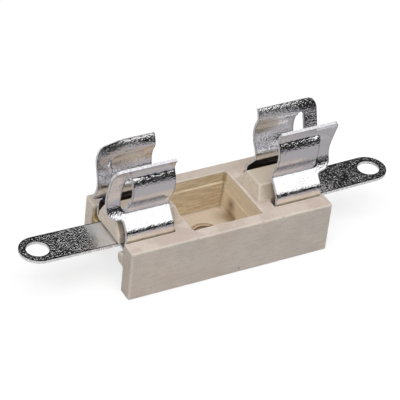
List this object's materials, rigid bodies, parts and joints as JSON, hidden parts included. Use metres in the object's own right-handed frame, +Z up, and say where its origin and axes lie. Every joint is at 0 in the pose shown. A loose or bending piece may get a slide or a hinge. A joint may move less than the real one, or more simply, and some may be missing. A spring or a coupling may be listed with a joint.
{
  "type": "ceramic fuse holder",
  "caption": "Open ceramic fuse base with a spring clip and a flat terminal tab at each end, for a small cartridge fuse.",
  "frame": {"origin": "middle of the underside of the ceramic base", "axes": "+X runs along the fuse, from one terminal tab to the other; +Y runs across the base; +Z points up out of the clips"},
  "size_m": [0.0824, 0.0206, 0.0274],
  "materials": {
    "ceramic": "matte, unglazed",
    "plated_sheet": "bright plated"
  },
  "bodies": {
    "root": {"ceramic_base": "ceramic", "fuse_clip_left": "plated_sheet", "fuse_clip_right": "plated_sheet"}
  },
  "joints": []
}
